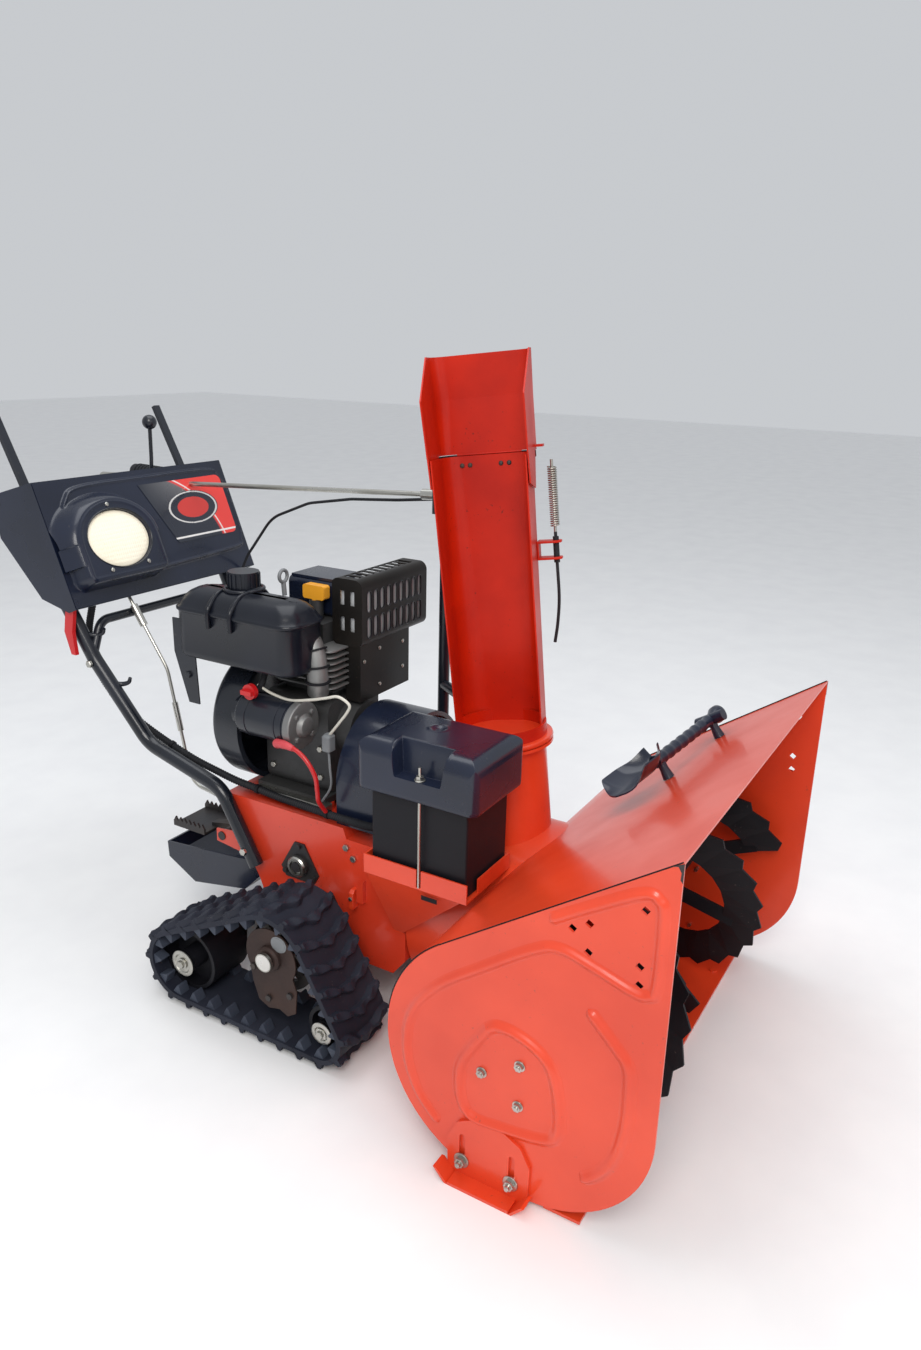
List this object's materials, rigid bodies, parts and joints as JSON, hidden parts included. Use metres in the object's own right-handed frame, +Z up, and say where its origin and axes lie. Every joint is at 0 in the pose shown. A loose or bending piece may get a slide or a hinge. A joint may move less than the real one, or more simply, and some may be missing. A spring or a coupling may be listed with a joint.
{
  "type": "tracked two-stage snow blower",
  "caption": "Tracked two-stage snow blower with toothed augers, a turning discharge chute, an engine, rubber crawler tracks and a handlebar dash.",
  "frame": {"origin": "on the ground under the middle of the whole machine", "axes": "+Z up, -Y towards the auger housing, +Y towards the operator, -X to the operator's right"},
  "size_m": [0.8748, 1.6376, 1.1891],
  "materials": {
    "paint_orange": "satin baked enamel",
    "paint_black": "satin black",
    "steel": "zinc plated",
    "rubber": "matt moulded",
    "cast": "sand cast",
    "iron": "dark cast",
    "plastic_black": "moulded satin",
    "plastic_gloss": "moulded gloss",
    "plastic_red": "moulded",
    "plastic_yellow": "moulded",
    "lens": "frosted moulded",
    "muffler_steel": "bright steel",
    "steel_rust": "worn"
  },
  "bodies": {
    "chassis": {"auger_housing": "paint_orange", "scraper_blade": "paint_orange", "housing_bolts": "steel", "auger_gearbox": "paint_orange", "chute_pedestal": "paint_black", "deflector_cable": "rubber", "main_frame": "paint_orange", "flange_bearings": "iron", "rear_guard": "paint_black", "engine_block": "cast", "blower_housing": "paint_black", "fuel_tank": "plastic_black", "muffler": "muffler_steel", "muffler_guard": "paint_black", "starter_motor": "paint_black", "carburettor_cover": "plastic_black", "belt_cover": "plastic_gloss", "auger_belt": "rubber", "battery": "plastic_black", "battery_cover": "plastic_gloss", "battery_tray": "paint_orange", "battery_hold_down": "steel", "handlebar": "paint_black", "hand_grips": "rubber", "dash_panel": "plastic_gloss", "headlight_lens": "lens", "clutch_rod": "steel", "wiring_harness": "plastic_black", "cleanout_tool": "plastic_black"},
    "auger": {"auger_rake_right": "paint_black", "auger_rake_left": "paint_black", "auger_shaft": "steel"},
    "impeller_rotor": {"impeller": "paint_orange", "impeller_shaft": "steel", "impeller_pulley": "iron"},
    "engine_rotor": {"engine_pulley": "iron"},
    "chute": {"discharge_chute": "paint_orange", "deflector_spring": "paint_orange"},
    "deflector": {"chute_deflector": "paint_orange"},
    "chute_crank": {"chute_control_rod": "steel"},
    "skid_right": {"skid_shoe_right": "paint_orange"},
    "skid_left": {"skid_shoe_left": "paint_orange"},
    "axle": {"drive_axle": "steel", "drive_sprockets": "iron"},
    "track_carriage": {"track_frames": "steel_rust", "track_belt_right": "rubber", "track_belt_left": "rubber"},
    "idler_rear_right": {"rear_idler_right": "steel"},
    "idler_rear_left": {"rear_idler_left": "steel"},
    "idler_front_right": {"front_idler_right": "steel"},
    "idler_front_left": {"front_idler_left": "steel"},
    "cross_shaft": {"friction_wheel": "iron"},
    "pedal": {"track_pedal": "steel"},
    "clutch_right": {"clutch_lever_right": "paint_black"},
    "clutch_left": {"clutch_lever_left": "paint_black"},
    "speed": {"speed_lever": "paint_black"},
    "lock": {"lock_lever": "plastic_red"},
    "fuel_tap": {"fuel_valve": "plastic_red"},
    "tank_cap": {"fuel_cap": "plastic_black"},
    "oil_dipstick": {"dipstick": "plastic_yellow"}
  },
  "joints": [
    {"name": "auger_spin", "type": "hinge", "parent": "chassis", "child": "auger", "pos_m": [0, -0.5988, 0.213], "axis": [1, 0, 0], "continuous": true},
    {"name": "impeller_spin", "type": "hinge", "parent": "chassis", "child": "impeller_rotor", "pos_m": [0, -0.5988, 0.213], "axis": [0, 1, 0], "continuous": true},
    {"name": "engine_spin", "type": "hinge", "parent": "chassis", "child": "engine_rotor", "pos_m": [-0.04, -0.1188, 0.508], "axis": [0, 1, 0], "continuous": true},
    {"name": "chute_turn", "type": "hinge", "parent": "chassis", "child": "chute", "pos_m": [0, -0.3558, 0.534], "axis": [0, 0.1219, 0.9925], "range_deg": [-28, 172]},
    {"name": "deflector_tilt", "type": "hinge", "parent": "chute", "child": "deflector", "pos_m": [0.071, -0.2736, 1.01557], "axis": [0.3069, -0.9446, 0.116], "range_deg": [0, 50]},
    {"name": "chute_control_turn", "type": "hinge", "parent": "chassis", "child": "chute_crank", "pos_m": [0.112, -0.1478, 0.928], "axis": [0.0314, 0.9977, -0.0605], "range_deg": [-113, 689]},
    {"name": "skid_right_slide", "type": "slide", "parent": "chassis", "child": "skid_right", "axis": [0, 0, -1], "range_m": [0, 0.03]},
    {"name": "skid_left_slide", "type": "slide", "parent": "chassis", "child": "skid_left", "axis": [0, 0, -1], "range_m": [0, 0.03]},
    {"name": "axle_spin", "type": "hinge", "parent": "chassis", "child": "axle", "pos_m": [0, -0.0968, 0.179], "axis": [1, 0, 0], "continuous": true},
    {"name": "track_pitch", "type": "hinge", "parent": "chassis", "child": "track_carriage", "pos_m": [0, -0.0968, 0.179], "axis": [1, 0, 0], "range_deg": [-5, 5]},
    {"name": "idler_rear_right_spin", "type": "hinge", "parent": "track_carriage", "child": "idler_rear_right", "pos_m": [-0.267, 0.1212, 0.086], "axis": [1, 0, 0], "continuous": true},
    {"name": "idler_front_right_spin", "type": "hinge", "parent": "track_carriage", "child": "idler_front_right", "pos_m": [-0.267, -0.2028, 0.065], "axis": [1, 0, 0], "continuous": true},
    {"name": "idler_rear_left_spin", "type": "hinge", "parent": "track_carriage", "child": "idler_rear_left", "pos_m": [0.267, 0.1212, 0.086], "axis": [1, 0, 0], "continuous": true},
    {"name": "idler_front_left_spin", "type": "hinge", "parent": "track_carriage", "child": "idler_front_left", "pos_m": [0.267, -0.2028, 0.065], "axis": [1, 0, 0], "continuous": true},
    {"name": "cross_shaft_spin", "type": "hinge", "parent": "chassis", "child": "cross_shaft", "pos_m": [0, -0.0318, 0.264], "axis": [1, 0, 0], "continuous": true},
    {"name": "pedal_press", "type": "hinge", "parent": "chassis", "child": "pedal", "pos_m": [0, 0.1712, 0.262], "axis": [1, 0, 0], "range_deg": [-18, 0], "stiffness_Nm_per_rad": 12, "springref_deg": 20.05},
    {"name": "clutch_right_squeeze", "type": "hinge", "parent": "chassis", "child": "clutch_right", "pos_m": [-0.204, 0.5812, 0.885], "axis": [1, 0, 0], "range_deg": [-40, 0], "stiffness_Nm_per_rad": 2, "springref_deg": 22.92},
    {"name": "clutch_left_squeeze", "type": "hinge", "parent": "chassis", "child": "clutch_left", "pos_m": [0.204, 0.5812, 0.885], "axis": [1, 0, 0], "range_deg": [-40, 0], "stiffness_Nm_per_rad": 2, "springref_deg": 22.92},
    {"name": "speed_shift", "type": "hinge", "parent": "chassis", "child": "speed", "pos_m": [0.065, 0.5412, 0.88], "axis": [1, 0, 0], "range_deg": [-14, 11]},
    {"name": "lock_pull", "type": "hinge", "parent": "chassis", "child": "lock", "pos_m": [-0.236, 0.4492, 0.708], "axis": [1, 0, 0], "range_deg": [-12, 0], "stiffness_Nm_per_rad": 1, "springref_deg": 17.19},
    {"name": "fuel_tap_turn", "type": "hinge", "parent": "chassis", "child": "fuel_tap", "pos_m": [-0.192, 0.0462, 0.598], "axis": [1, 0, 0], "range_deg": [0, 90]},
    {"name": "tank_cap_turn", "type": "hinge", "parent": "chassis", "child": "tank_cap", "pos_m": [-0.128, 0.1132, 0.77], "axis": [0, 0, 1], "range_deg": [0, 90]},
    {"name": "dipstick_lift", "type": "slide", "parent": "chassis", "child": "oil_dipstick", "axis": [0, 0, 1], "range_m": [0, 0.12]}
  ],
  "couplings": [
    {"joint": "impeller_spin", "follows": "auger_spin", "ratio": 10},
    {"joint": "chute_control_turn", "follows": "chute_turn", "ratio": 4},
    {"joint": "cross_shaft_spin", "follows": "axle_spin", "ratio": -2.2769},
    {"joint": "idler_rear_right_spin", "follows": "axle_spin", "ratio": 1.2244},
    {"joint": "idler_front_right_spin", "follows": "axle_spin", "ratio": 1.8454},
    {"joint": "idler_rear_left_spin", "follows": "axle_spin", "ratio": 1.2244},
    {"joint": "idler_front_left_spin", "follows": "axle_spin", "ratio": 1.8454}
  ]
}
